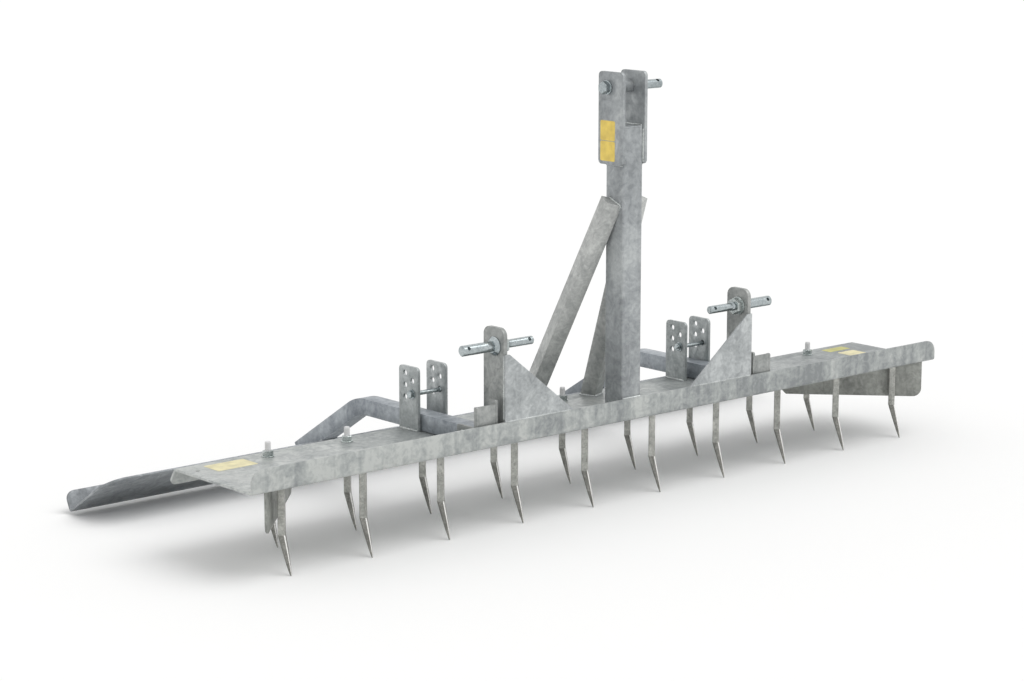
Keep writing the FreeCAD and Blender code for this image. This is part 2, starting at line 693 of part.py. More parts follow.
# The sharp corner lies lower than the fold by what its round takes away
FOLD_Z = "(board_lift + %s * (1 - sin(%s) / sin(%s)))" % (FOLD_OUTER, FOLD_LINE, HALF_FOLD)
FOLD_Y = "(overall_depth - (lip_rise - %s) / tan(lip_slope))" % FOLD_Z
BOARD_LENGTH = "(beam_length - 2 * board_inset)"


def levelling_board():
    """Folded sheet: a wall that leans forward and a lip that stands up behind."""
    board = new_body("levelling_board")
    wall = ("(%s - board_wall * cos(board_slope))" % FOLD_Y,
            "(%s + board_wall * sin(board_slope))" % FOLD_Z)
    wall_upper = (wall[0] + " + sheet * sin(board_slope)", wall[1] + " + sheet * cos(board_slope)")
    inner = ("(%s + sheet / sin(%s) * cos(%s))" % (FOLD_Y, HALF_FOLD, FOLD_LINE),
             "(%s + sheet / sin(%s) * sin(%s))" % (FOLD_Z, HALF_FOLD, FOLD_LINE))
    lip_inner = ("overall_depth - sheet * sin(lip_slope)", "lip_rise + sheet * cos(lip_slope)")
    section = new_sketch(board, "YZ")
    outline(section, [wall, (FOLD_Y, FOLD_Z), ("overall_depth", "lip_rise"), lip_inner, inner,
                      wall_upper])
    pad(section, BOARD_LENGTH, both_ways=True)
    soften(board, FOLD_OUTER, lambda edge: passes(edge, y=FOLD_Y, z=FOLD_Z))
    soften(board, "board_bend", lambda edge: passes(edge, y=inner[0], z=inner[1]))
    end_x = size(BOARD_LENGTH + " / 2")
    for radius, near in (("board_round", wall), ("lip_round", ("overall_depth", "lip_rise"))):
        corner = FreeCAD.Vector(end_x, size(near[0]), size(near[1]))
        soften(board, radius, lambda edge: abs(edge.Length - size("sheet")) < 0.01
               and abs(abs(edge.CenterOfMass.x) - corner.x) < 0.01
               and abs(edge.CenterOfMass.y - corner.y) < size("sheet")
               and abs(edge.CenterOfMass.z - corner.z) < size("sheet"))


ARM_UNDER = "(pivot_z - arm_height / 2)"
ARM_TOP = "(pivot_z + arm_height / 2)"
# Where the arm's level underside meets the line of the board's upper face
ARM_TURN = "(%s + sheet / sin(board_slope) - (%s - %s) / tan(board_slope))" % (
    FOLD_Y, ARM_UNDER, FOLD_Z)


def arm_outline(inset, start, past_end):
    """Side view of the box tube, drawn in from its outside by the inset."""
    down = "((%s - %s) / sin(board_slope) - board_wall + arm_lap + %s)" % (
        ARM_UNDER, FOLD_Z, past_end)
    half_turn = "(board_slope / 2)"
    low = ("(%s + %s * tan%s)" % (ARM_TURN, inset, half_turn), "(%s + %s)" % (ARM_UNDER, inset))
    high = ("(%s + (arm_height - %s) * tan%s)" % (ARM_TURN, inset, half_turn),
            "(%s - %s)" % (ARM_TOP, inset))
    tail_low = ("(%s + %s * cos(board_slope) + %s * sin(board_slope))" % (ARM_TURN, down, inset),
                "(%s - %s * sin(board_slope) + %s * cos(board_slope))" % (ARM_UNDER, down, inset))
    rise = "(arm_height - 2 * %s)" % inset
    tail_high = ("(%s + %s * sin(board_slope))" % (tail_low[0], rise),
                 "(%s + %s * cos(board_slope))" % (tail_low[1], rise))
    return [(start, low[1]), low, tail_low, tail_high, high, (start, high[1])]


def arms():
    """Box tubes from the pivots back and down onto the levelling board."""
    nose = "(pivot_y - arm_height / 2)"
    for side, sign in SIDES:
        arm = new_body("arm_" + side, "%d * arm_x" % sign)
        shape = new_sketch(arm, "YZ")
        corners = arm_outline("0", nose, "0")
        outline(shape, corners)
        pad(shape, "arm_width", both_ways=True)
        low, high = corners[1], corners[4]
        soften(arm, "arm_bend", lambda edge: runs_along(edge, "x")
               and passes(edge, y=low[0], z=low[1]))
        soften(arm, "arm_bend + arm_height", lambda edge: runs_along(edge, "x")
               and passes(edge, y=high[0], z=high[1]))
        soften(arm, "arm_height / 2 - running_fit", lambda edge: runs_along(edge, "x")
               and passes(edge, y=nose))
        hollow = new_sketch(arm, "YZ")
        outline(hollow, arm_outline("arm_wall", "(pivot_y + boss / 2 + arm_wall)", "arm_height"))
        cut = arm.newObject("PartDesign::Pocket", arm.Name + "_hollow")
        cut.Profile = hollow
        cut.Midplane = True
        bind(cut, "Length", "arm_width - 2 * arm_wall")
        doc.recompute()
        bush = new_sketch(arm, "YZ", "%s - arm_x" % (
            EAR_FACE + " + boss_gap" if sign > 0 else "2 * arm_x - lug_inner + boss_gap"))
        ring(bush, ("pivot_y", "pivot_z"), "boss")
        pad(bush, "lug_inner - %s - 2 * boss_gap" % EAR_FACE)
        bore(arm, "YZ", ("pivot_y", "pivot_z"), "pivot_pin + 2 * running_fit")


main_beam()
tines()
mast()
ears()
top_link_pin()
braces()
link_brackets()
gussets()
link_pins()
arm_pivots()
stop_bars()
side_boards()
levelling_board()
arms()
doc.recompute()

# Nothing is written unless every object and every sub-part is sound
for thing in doc.Objects:
    if "Invalid" in thing.State or "Error" in thing.State:
        raise RuntimeError("%s failed: %s" % (thing.Name, thing.State))
for node in nodes:
    if node.Shape.isNull() or not node.Shape.isValid() or node.Shape.Volume <= 0:
        raise RuntimeError("%s has no sound shape" % node.Label)

os.makedirs("parts", exist_ok=True)
for node in nodes:
    node.Shape.exportStep("parts/%s.step" % node.Label)
    box = node.Shape.BoundBox
    print("%-20s %9.0f mm3  x %7.1f %7.1f  y %7.1f %7.1f  z %7.1f %7.1f" % (
        node.Label, node.Shape.Volume, box.XMin, box.XMax, box.YMin, box.YMax, box.ZMin, box.ZMax))
print("%d sub-parts" % len(nodes))
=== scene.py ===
import math
import bmesh
import bpy
from mathutils import Matrix, Vector


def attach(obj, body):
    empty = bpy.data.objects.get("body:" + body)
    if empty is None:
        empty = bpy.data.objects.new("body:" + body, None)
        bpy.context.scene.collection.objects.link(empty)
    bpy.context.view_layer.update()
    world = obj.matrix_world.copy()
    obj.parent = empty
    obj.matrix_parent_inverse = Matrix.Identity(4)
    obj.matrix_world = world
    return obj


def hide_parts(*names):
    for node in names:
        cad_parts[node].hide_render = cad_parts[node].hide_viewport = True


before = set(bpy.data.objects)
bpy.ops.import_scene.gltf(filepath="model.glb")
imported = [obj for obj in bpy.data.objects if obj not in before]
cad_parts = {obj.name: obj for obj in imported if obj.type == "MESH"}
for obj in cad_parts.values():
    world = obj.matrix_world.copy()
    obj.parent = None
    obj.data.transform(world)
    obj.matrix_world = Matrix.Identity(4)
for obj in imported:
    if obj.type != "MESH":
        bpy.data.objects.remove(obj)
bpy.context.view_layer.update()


# Main beam: one 6 mm steel sheet, folded up in front and down behind, punched for the tines.
# It is hot-dip galvanised after welding, which leaves cloudy grey patches, small crystals
# and runs down the upright faces.

EDGE_ROUND = 0.0008


def tint(red, green, blue):
    """Turn a colour as seen on a screen into the shader's own scale."""
    return tuple((c / 255 / 12.92 if c <= 10 else ((c / 255 + 0.055) / 1.055) ** 2.4)
                 for c in (red, green, blue)) + (1.0,)


def add_node(tree, kind, values=None, **options):
    """Add a shader node, set its options, and give its inputs numbers or links."""
    node = tree.nodes.new("ShaderNode" + kind)
    for option, value in options.items():
        setattr(node, option, value)
    for socket, value in (values or {}).items():
        if isinstance(value, bpy.types.NodeSocket):
            tree.links.new(value, node.inputs[socket])
        else:
            node.inputs[socket].default_value = value
    return node


def add_share(tree, total, value, share):
    """Add a share of one pattern to the running total."""
    return add_node(tree, "Math", {0: value, 1: share, 2: total},
                    operation="MULTIPLY_ADD").outputs[0]


def zinc_coat(name, dark, middle, light, patches=0.6, crystals=0.12, runs=0.25, gloss=0.42,
              metal=0.35, patch_scale=6.0, darker_to_right=0.0):
    """Hot-dip zinc: cloudy patches, small crystals, and runs down the upright faces."""
    cloud_share, flow_share, speck_share, run_share = 2.2 * patches, 1.1, 0.5, 2.4 * runs
    coat = bpy.data.materials.new(name)
    coat.use_nodes = True
    tree = coat.node_tree
    shader = tree.nodes["Principled BSDF"]
    place = add_node(tree, "TexCoord").outputs["Object"]
    clouds = add_node(tree, "TexNoise", {"Vector": place, "Scale": patch_scale, "Detail": 6.0,
                                         "Roughness": 0.62, "Distortion": 0.4}).outputs["Fac"]
    flow = add_node(tree, "TexNoise", {"Vector": place, "Scale": 4.5 * patch_scale, "Detail": 5.0,
                                       "Roughness": 0.6, "Distortion": 1.6}).outputs["Fac"]
    specks = add_node(tree, "TexNoise", {"Vector": place, "Scale": 75.0, "Detail": 4.0,
                                         "Roughness": 0.7}).outputs["Fac"]
    cells = add_node(tree, "TexVoronoi", {"Vector": place, "Scale": 150.0})
    cell_shade = add_node(tree, "SeparateColor", {"Color": cells.outputs["Color"]}).outputs[0]
    drawn_out = add_node(tree, "Mapping", {"Vector": place, "Scale": (34.0, 34.0, 2.6)})
    streaks = add_node(tree, "TexNoise", {"Vector": drawn_out.outputs["Vector"], "Scale": 1.0,
                                          "Detail": 5.0, "Distortion": 0.3}).outputs["Fac"]
    facing = add_node(tree, "NewGeometry").outputs["Normal"]
    up = add_node(tree, "SeparateXYZ", {"Vector": facing}).outputs["Z"]
    level = add_node(tree, "Math", {0: up}, operation="ABSOLUTE").outputs[0]
    upright = add_node(tree, "MapRange", {"Value": level, "From Min": 0.3, "From Max": 0.9,
                                          "To Min": 1.0, "To Max": 0.0}).outputs["Result"]
    run_here = add_node(tree, "Math", {0: streaks, 1: 0.5}, operation="SUBTRACT").outputs[0]
    run_here = add_node(tree, "Math", {0: run_here, 1: upright}, operation="MULTIPLY").outputs[0]
    across = add_node(tree, "SeparateXYZ", {"Vector": place}).outputs["X"]
    # The total starts where the middle of all patterns falls on the middle of the ramp
    total = 0.5 - 0.5 * (cloud_share + flow_share + speck_share + crystals)
    for pattern, share in ((clouds, cloud_share), (flow, flow_share), (specks, speck_share),
                           (cell_shade, crystals), (run_here, run_share),
                           (across, -darker_to_right)):
        total = add_share(tree, total, pattern, share)
    ramp = add_node(tree, "ValToRGB", {"Fac": total})
    ramp.color_ramp.elements[0].position = 0.15
    ramp.color_ramp.elements[0].color = dark
    ramp.color_ramp.elements[1].position = 0.85
    ramp.color_ramp.elements[1].color = light
    ramp.color_ramp.elements.new(0.5).color = middle
    tree.links.new(ramp.outputs["Color"], shader.inputs["Base Color"])
    rough = add_node(tree, "MapRange", {"Value": total, "From Min": 0.1, "From Max": 0.9,
                                        "To Min": gloss + 0.12, "To Max": gloss - 0.08})
    tree.links.new(rough.outputs["Result"], shader.inputs["Roughness"])
    height = add_share(tree, specks, cells.outputs["Distance"], 0.25)
    height = add_share(tree, height, streaks, 0.6)
    bump = add_node(tree, "Bump", {"Strength": 0.16, "Distance": 0.0012, "Height": height})
    tree.links.new(bump.outputs["Normal"], shader.inputs["Normal"])
    shader.inputs["Metallic"].default_value = metal
    return coat


def coat_nodes(coat, *names):
    """Give CAD nodes the finish in place of their plain one."""
    for name in names:
        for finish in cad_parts[name].material_slots:
            finish.material = coat


def soften_edges(piece):
    """Round the sharp edges of a piece."""
    bpy.ops.object.select_all(action="DESELECT")
    piece.select_set(True)
    bpy.context.view_layer.objects.active = piece
    edge = piece.modifiers.new("edges", "BEVEL")
    edge.width = EDGE_ROUND
    edge.segments = 2
    edge.limit_method = "ANGLE"
    edge.angle_limit = math.radians(30)
    bpy.ops.object.modifier_apply(modifier=edge.name)
    bpy.ops.object.shade_smooth_by_angle(angle=math.radians(35))


def fit_piece(piece, finish, body="frame", stands_for=()):
    """Give a finished piece its finish and body, and hide the CAD parts it stands for."""
    if finish:
        piece.data.materials.clear()
        piece.data.materials.append(finish)
    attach(piece, body)
    if stands_for:
        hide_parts(*stands_for)


def eased_steel(finish, *names, body="frame", slot="galvanised_frame"):
    """Copy cut steel, merge its facets and round its edges as the zinc does."""
    for name in names:
        bpy.ops.object.select_all(action="DESELECT")
        piece = bpy.data.objects.new("eased_" + name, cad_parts[name].data.copy())
        bpy.context.collection.objects.link(piece)
        piece.data.name = piece.name
        piece.select_set(True)
        bpy.context.view_layer.objects.active = piece
        bpy.ops.object.mode_set(mode="EDIT")
        bpy.ops.mesh.select_all(action="SELECT")
        bpy.ops.mesh.remove_doubles(threshold=0.000002)
        bpy.ops.mesh.dissolve_limited(angle_limit=math.radians(0.5))
        bpy.ops.object.mode_set(mode="OBJECT")
        soften_edges(piece)
        fit_piece(piece, finish, body, [name])


# The beam's coat darkens slowly towards its right end
beam_zinc = zinc_coat("beam_zinc", tint(137, 141, 142), tint(163, 167, 166), tint(189, 192, 189),
                      runs=0.5, darker_to_right=0.14)
eased_steel(beam_zinc, "main_beam")


# Tines: square spring-steel bars set edge forward, bent forward and drawn out to a long point
# with its corners hammered flat, and threaded at the top. They are zinc plated and pass
# through the deck from below.

TINE_PITCH = 0.25
TINE_ROWS = (("front", 10, 0.057), ("rear", 9, 0.287))
DECK_UNDER = 0.225
DECK_TOP = 0.231
HALF_DEPTH = 0.451


def start_editing():
    """Open the new primitive in edit mode, with all of it selected."""
    bpy.ops.object.mode_set(mode="EDIT")
    bpy.ops.mesh.select_all(action="SELECT")


def close_piece(name, smooth=None):
    """Turn the faces outward, leave edit mode and name the piece."""
    bpy.ops.mesh.select_all(action="SELECT")
    bpy.ops.mesh.normals_make_consistent(inside=False)
    bpy.ops.object.mode_set(mode="OBJECT")
    piece = bpy.context.object
    bpy.ops.object.transform_apply(location=True, rotation=True, scale=True)
    piece.name = name
    piece.data.name = name
    if smooth is not None:
        bpy.ops.object.shade_smooth_by_angle(angle=math.radians(smooth))
    return piece


def turned_piece(name, foot, direction, rows, vertices=32, smooth=40):
    """Draw a round piece: a disc extruded along a line through (distance, radius) rows."""
    bpy.ops.object.select_all(action="DESELECT")
    line = Vector(direction).normalized()
    foot = Vector(foot)
    bpy.ops.mesh.primitive_circle_add(
        vertices=vertices, radius=rows[0][1], fill_type="NGON",
        location=foot + line * rows[0][0], rotation=line.to_track_quat("Z", "Y").to_euler())
    bpy.ops.object.transform_apply(location=True, rotation=True, scale=True)
    start_editing()
    for (before, radius), (after, next_radius) in zip(rows, rows[1:]):
        bpy.ops.mesh.extrude_region_move(
            TRANSFORM_OT_translate={"value": line * (after - before)})
        ratio = next_radius / radius
        bpy.ops.transform.resize(value=(ratio, ratio, ratio), center_override=foot + line * after)
    return close_piece(name, smooth)


def thread_rows(start, end, radius, pitch):
    """Rows of (distance, radius) for a thread's crests and roots."""
    count = round((end - start) / pitch)
    rows = []
    for turn in range(count):
        low = start + (end - start) * turn / count
        rows.append((low + 0.05 * pitch, radius * 0.9))
        rows.append((low + 0.5 * pitch, radius))
    return rows + [(end, radius * 0.88)]


def join_pieces(name, pieces):
    """Join pieces into one object."""
    bpy.ops.object.select_all(action="DESELECT")
    for piece in pieces:
        piece.select_set(True)
    bpy.context.view_layer.objects.active = pieces[0]
    bpy.ops.object.join()
    pieces[0].name = name
    pieces[0].data.name = name
    return pieces[0]


def copied_to(piece, name, move):
    """Copy a finished piece, with its own mesh moved to its place."""
    copy = piece.copy()
    copy.data = piece.data.copy()
    copy.data.transform(Matrix.Translation(move))
    copy.name = name
    copy.data.name = name
    bpy.context.collection.objects.link(copy)
    return copy


def forged_bar():
    """Square bar, edge forward, bent forward and drawn out to a long faceted point."""
    bend, rake = 0.097, math.tan(math.radians(20))
    bpy.ops.object.select_all(action="DESELECT")
    bpy.ops.mesh.primitive_plane_add(size=0.0178, location=(0, 0, DECK_UNDER),
                                     rotation=(0, 0, math.pi / 4))
    bpy.ops.object.transform_apply(location=True, rotation=True)
    start_editing()
    # Heights below the deck, and the bar's width there as a share of the full one
    rows = ((0.103, 1.0), (bend, 1.04), (0.056, 0.80), (0.022, 0.50), (0.005, 0.26), (0.0, 0.14))
    height, lean, share = DECK_UNDER, 0.0, 1.0
    for next_height, next_share in rows:
        next_lean = -max(bend - next_height, 0) * rake
        bpy.ops.mesh.extrude_region_move(
            TRANSFORM_OT_translate={"value": (0, next_lean - lean, next_height - height)})
        ratio = next_share / share
        bpy.ops.transform.resize(value=(ratio, ratio, 1),
                                 center_override=Vector((0, next_lean, next_height)))
        height, lean, share = next_height, next_lean, next_share
    bar = close_piece("forged_bar")
    for low, high, cut in ((-0.001, bend + 0.0005, 17), (0.09, 1.0, 7)):
        bpy.ops.object.mode_set(mode="EDIT")
        bpy.ops.mesh.select_mode(type="EDGE")
        bpy.ops.mesh.select_all(action="DESELECT")
        form = bmesh.from_edit_mesh(bar.data)
        for edge in form.edges:
            ends = [corner.co for corner in edge.verts]
            inside = all(low < end.z < high for end in ends)
            edge.select = inside and abs(ends[0].z - ends[1].z) > 0.0015
        bmesh.update_edit_mesh(bar.data)
        bpy.ops.mesh.bevel(offset_type="PERCENT", offset_pct=cut, affect="EDGES")
        bpy.ops.object.mode_set(mode="OBJECT")
    for finish in (tine_zinc, painted_shade_zinc, painted_highlight_zinc):
        bar.data.materials.append(finish)
    # The point's faces get a darker finish as painted shade, and its flattened front corner a
    # near-white one as a painted highlight
    for face in bar.data.polygons:
        if face.center.z < bend:
            on_corner = face.normal.y < -0.85 and abs(face.normal.x) < 0.2
            face.material_index = 2 if on_corner else 1
    return bar


def tine_finish(name, dark, middle, light, metal=0.5, gloss=0.34):
    """Bright zinc plate over a forged skin."""
    return zinc_coat(name, dark, middle, light, patches=0.4, crystals=0.05, runs=0.12,
                     gloss=gloss, metal=metal, patch_scale=26.0)


tine_zinc = tine_finish("tine_zinc", tint(126, 127, 122), tint(166, 167, 162),
                        tint(204, 204, 198))
# Darker finish for the point's faces: painted shade, standing for the floor's shadow seen in them
painted_shade_zinc = tine_finish("painted_shade_zinc", tint(92, 92, 88), tint(126, 126, 121),
                          tint(166, 166, 160))
# Near-white finish for the point's flattened front corner: a painted highlight
painted_highlight_zinc = tine_finish("painted_highlight_zinc", tint(214, 214, 208), tint(236, 236, 232),
                        tint(250, 250, 247), gloss=0.25)
stud_rows = [(0.0, 0.008), (0.010, 0.008)] + thread_rows(0.010, 0.043, 0.008, 0.002)
stud_rows.append((0.045, 0.0066))
long_stud = turned_piece("long_stud", (0, 0, DECK_UNDER), (0, 0, 1), stud_rows, vertices=20,
                         smooth=25)
full_tine = join_pieces("full_tine", [forged_bar(), long_stud])
short_stud = turned_piece("short_stud", (0, 0, DECK_UNDER), (0, 0, 1),
                          [(0.0, 0.008), (0.0055, 0.008), (0.006, 0.0075)], vertices=24)
short_tine = join_pieces("short_tine", [forged_bar(), short_stud])
tine_places = []
for row, count, from_front in TINE_ROWS:
    for index in range(count):
        node = "tine_%s_%02d" % (row, index + 1)
        place = Vector(((index - (count - 1) / 2) * TINE_PITCH, from_front - HALF_DEPTH, 0))
        under_arm = row == "rear" and index in (2, 6)
        model = short_tine if under_arm else full_tine
        tine = copied_to(model, "forged_" + node, place)
        fit_piece(tine, None, stands_for=[node])
        if not under_arm:
            tine_places.append((node, place))


# Tine nuts: an M16 hexagon nut and a wide flat washer on every stud, zinc plated and drawn
# tight on the deck.

def hex_nut(name, foot, direction, flats, thickness, hole):
    """Hexagon nut with chamfered corners and a countersunk hole mouth on its top end."""
    edge = 0.08 * thickness
    corner = flats / math.sqrt(3)
    return turned_piece(name, foot, direction,
                        [(0.0, corner * 0.93), (edge, corner), (thickness - edge, corner),
                         (thickness, corner * 0.93), (thickness, hole * 1.12),
                         (thickness - 0.0012, hole)], vertices=6, smooth=20)


plate_zinc = tine_finish("plate_zinc", tint(138, 145, 145), tint(176, 183, 182),
                         tint(212, 217, 215), metal=0.85, gloss=0.24)
flat_washer = turned_piece("flat_washer", (0, 0, DECK_TOP), (0, 0, 1),
                           [(0.0, 0.0156), (0.0004, 0.016), (0.0024, 0.016), (0.003, 0.0155)])
nut_body = hex_nut("nut_body", (0, 0, DECK_TOP + 0.003), (0, 0, 1), 0.024, 0.013, 0.0082)
nut_set = join_pieces("nut_set", [flat_washer, nut_body])
for number, (node, place) in enumerate(tine_places):
    # Every nut stopped at its own angle
    turn = Matrix.Rotation(number * 0.71, 4, "Z")
    nut = copied_to(nut_set, "nut_on_" + node, (0, 0, 0))
    nut.data.transform(Matrix.Translation(place) @ turn)
    fit_piece(nut, plate_zinc)
for model in (full_tine, short_tine, nut_set):
    bpy.data.objects.remove(model)


# Headstock: a 70 mm square tube mast with a cap, two ears for the top link, and two braces
# of 45 mm tube. All are welded to the beam before the galvanising bath.

mast_zinc = zinc_coat("mast_zinc", tint(135, 139, 141), tint(159, 163, 165), tint(184, 188, 188))
brace_zinc = zinc_coat("brace_zinc", tint(150, 153, 152), tint(176, 178, 176),
                       tint(202, 204, 201), patch_scale=9.0)
# Weld beads a little lighter than the plates: partly the beads' own brighter zinc, partly a painted
# highlight
weld_zinc = zinc_coat("weld_zinc", tint(146, 150, 150), tint(178, 182, 181), tint(216, 220, 218),
                      patch_scale=40.0, metal=0.6, gloss=0.3)
ON_DECK = 0.232
SIDES = (("left", -1), ("right", 1))


def weld_bead(start, end, size):
    """Fillet weld laid in overlapping ripples from one point to another."""
    run = Vector(end) - Vector(start)
    ripples = max(3, round(run.length / (1.3 * size)))
    rows = [(0.0, 0.4 * size)]
    for ripple in range(ripples):
        rows.append(((ripple + 0.2) / ripples * run.length, 0.86 * size))
        rows.append(((ripple + 0.7) / ripples * run.length, size))
    rows.append((run.length, 0.4 * size))
    return turned_piece("bead", start, run, rows, vertices=8, smooth=70)


def weld_runs(name, size, sign, lines, body="frame"):
    """Lay beads between points (across, from the front face, height) on one side."""
    beads = []
    for line in lines:
        start, end = [Vector((sign * x, y - HALF_DEPTH, z)) for x, y, z in line]
        beads.append(weld_bead(start, end, size))
    fit_piece(join_pieces(name, beads), weld_zinc, body)


eased_steel(mast_zinc, "mast", "mast_cap", "ear_left", "ear_right")
eased_steel(brace_zinc, "brace_left", "brace_right")
weld_runs("mast_foot_weld", 0.0045, 1, [
    ((-0.035, 0.012, ON_DECK), (-0.035, 0.076, ON_DECK)),
    ((0.035, 0.012, ON_DECK), (0.035, 0.076, ON_DECK)),
    ((-0.033, 0.079, ON_DECK), (0.033, 0.079, ON_DECK)),
    ((-0.033, 0.0078, 0.2862), (0.033, 0.0078, 0.2862))])
for side, sign in SIDES:
    weld_runs("ear_weld_" + side, 0.0036, sign, [
        ((0.0352, 0.013, 0.9168), (0.0352, 0.076, 0.9168)),
        ((0.0348, 0.0090, 0.922), (0.0348, 0.0090, 1.012)),
        ((0.0352, 0.0792, 0.922), (0.0352, 0.0792, 1.012)),
        ((0.0345, 0.0130, 1.0205), (0.0345, 0.0760, 1.0205))])
    # Round the tube's cut head on the mast, then round its foot on the deck
    weld_runs("brace_weld_" + side, 0.0045, sign, [
        ((0.0355, 0.0188, 0.8088), (0.0355, 0.1217, 0.6745)),
        ((0.0355, 0.0630, 0.8280), (0.0355, 0.1217, 0.6745)),
        ((0.0355, 0.0188, 0.8088), (0.0355, 0.0630, 0.8280)),
        ((0.1486, 0.2859, ON_DECK), (0.1345, 0.3290, ON_DECK)),
        ((0.1345, 0.3290, ON_DECK), (0.0914, 0.3141, ON_DECK)),
        ((0.0914, 0.3141, ON_DECK), (0.1055, 0.2683, ON_DECK)),
        ((0.1055, 0.2683, ON_DECK), (0.1486, 0.2859, ON_DECK))])


# Top link pin: a 25 mm turned pin with a hexagon head, a washer and a cross hole, held by the
# two ears, with a spacer sleeve between them.

TOP_PIN = Vector((0, 0.064 - HALF_DEPTH, 1.121))
pin_zinc = tine_finish("pin_zinc", tint(132, 140, 142), tint(168, 176, 178),
                       tint(198, 205, 206), metal=0.95, gloss=0.17)


def hex_head(name, foot, direction, flats, thickness):
    """Hexagon bolt head with its outer corners turned off."""
    corner = flats / math.sqrt(3)
    return turned_piece(name, foot, direction,
                        [(0.0, corner), (0.82 * thickness, corner), (thickness, 0.88 * corner)],
                        vertices=6, smooth=20)


def drill_through(piece, point, direction, radius):
    """Drill a round hole right through a turned piece."""
    line = Vector(direction).normalized()
    drill = turned_piece("drill", Vector(point) - line * 0.05, line, [(0.0, radius), (0.1, radius)],
                         vertices=24)
    bpy.ops.object.select_all(action="DESELECT")
    piece.select_set(True)
    bpy.context.view_layer.objects.active = piece
    hole = piece.modifiers.new("hole", "BOOLEAN")
    hole.object = drill
    bpy.ops.object.modifier_apply(modifier=hole.name)
    bpy.ops.object.shade_smooth_by_angle(angle=math.radians(35))
    bpy.data.objects.remove(drill)


shaft = turned_piece("top_pin_shaft", TOP_PIN, (1, 0, 0),
                     [(-0.049, 0.0125), (0.1455, 0.0125), (0.148, 0.0098)], vertices=40)
drill_through(shaft, TOP_PIN + Vector((0.132, 0, 0)), (0, -0.6, 0.8), 0.005)
washer = turned_piece("top_pin_washer", TOP_PIN, (1, 0, 0),
                      [(-0.049, 0.0184), (-0.0486, 0.019), (-0.0454, 0.019), (-0.045, 0.0184)],
                      vertices=40)
head = hex_head("top_pin_head", TOP_PIN - Vector((0.049, 0, 0)), (-1, 0, 0), 0.030, 0.016)
fit_piece(join_pieces("turned_top_link_pin", [shaft, washer, head]), pin_zinc,
          stands_for=["top_link_pin"])
coat_nodes(mast_zinc, "spacer_sleeve")


# Lower link brackets: 12 mm plates on the deck, each welded behind a three-cornered gusset
# on the flange. A stepped pin with a cone collar goes through each for the tractor's link,
# drawn tight by a nut on the inner side.

bracket_zinc = zinc_coat("bracket_zinc", tint(126, 129, 128), tint(148, 151, 149),
                         tint(172, 174, 172), patch_scale=8.0)
gusset_zinc = zinc_coat("gusset_zinc", tint(144, 148, 149), tint(168, 172, 173),
                        tint(194, 198, 198), patch_scale=8.0)
eased_steel(bracket_zinc, "link_bracket_left", "link_bracket_right")
eased_steel(gusset_zinc, "gusset_left", "gusset_right")
for side, sign in SIDES:
    middle = Vector((0, 0.043 - HALF_DEPTH, 0.482))
    across = Vector((sign, 0, 0))
    rows = [(0.327, 0.0085), (0.3295, 0.011), (0.411, 0.011)]
    rows += thread_rows(0.411, 0.421, 0.0117, 0.0025)
    rows += [(0.421, 0.012), (0.443, 0.012), (0.443, 0.014), (0.455, 0.014), (0.455, 0.0246),
             (0.4556, 0.025), (0.458, 0.025), (0.467, 0.0165), (0.467, 0.014), (0.5635, 0.014),
             (0.566, 0.0114)]
    pin = turned_piece("turned_link_pin_" + side, middle, across, rows, vertices=40)
    for reach in (0.343, 0.550):
        drill_through(pin, middle + across * reach, (0, -0.85, 0.5), 0.005)
    fit_piece(pin, pin_zinc, stands_for=["link_pin_" + side])
    disc = turned_piece("link_washer", middle, across,
                        [(0.439, 0.0243), (0.4395, 0.025), (0.4425, 0.025), (0.443, 0.0243)],
                        vertices=40)
    nut = hex_nut("link_nut", middle + across * 0.439, -across, 0.041, 0.018, 0.0121)
    fit_piece(join_pieces("drawn_link_nut_" + side, [nut, disc]), plate_zinc,
              stands_for=["link_nut_" + side])
    weld_runs("bracket_weld_" + side, 0.0045, sign, [
        ((0.455, 0.018, ON_DECK), (0.455, 0.085, ON_DECK)),
        ((0.443, 0.018, ON_DECK), (0.443, 0.085, ON_DECK)),
        ((0.445, 0.087, ON_DECK), (0.453, 0.087, ON_DECK)),
        ((0.443, 0.0065, 0.245), (0.443, 0.0065, 0.455)),
        ((0.455, 0.0070, 0.242), (0.455, 0.0070, 0.282))])
    weld_runs("gusset_weld_" + side, 0.0032, sign, [
        ((0.221, 0.0062, 0.2872), (0.440, 0.0062, 0.2872)),
        ((0.225, 0.0022, 0.2872), (0.452, 0.0022, 0.2872)),
        ((0.4538, 0.0072, 0.292), (0.4538, 0.0072, 0.461))])


# Arm pivots: two lugs with a horn in front and a plate between them, welded to the deck, and
# a 20 mm pin through lugs, bracket and the arm's bush.

eased_steel(bracket_zinc, *[piece + side for piece in ("pivot_lug_", "pivot_ear_", "pivot_plate_")
                            for side in ("left", "right")])
for side, sign in SIDES:
    middle = Vector((0, 0.060 - HALF_DEPTH, 0.2555))
    pin = turned_piece("turned_pivot_pin_" + side, middle, (sign, 0, 0),
                       [(0.437, 0.0085), (0.4385, 0.010), (0.543, 0.010), (0.543, 0.0155),
                        (0.5436, 0.016), (0.5480, 0.016), (0.549, 0.0148)])
    fit_piece(pin, plate_zinc, stands_for=["pivot_pin_" + side])
    weld_runs("pivot_weld_" + side, 0.004, sign, [
        ((0.543, 0.013, ON_DECK), (0.543, 0.087, ON_DECK)),
        ((0.472, 0.013, ON_DECK), (0.472, 0.087, ON_DECK)),
        ((0.4735, 0.090, ON_DECK), (0.4785, 0.090, ON_DECK)),
        ((0.5365, 0.090, ON_DECK), (0.5415, 0.090, ON_DECK))])


# Stop bars: pairs of flat bars with zigzag holes on both sides of each arm, and a 12 mm bolt
# with washers through them that stops the arm on its way up.

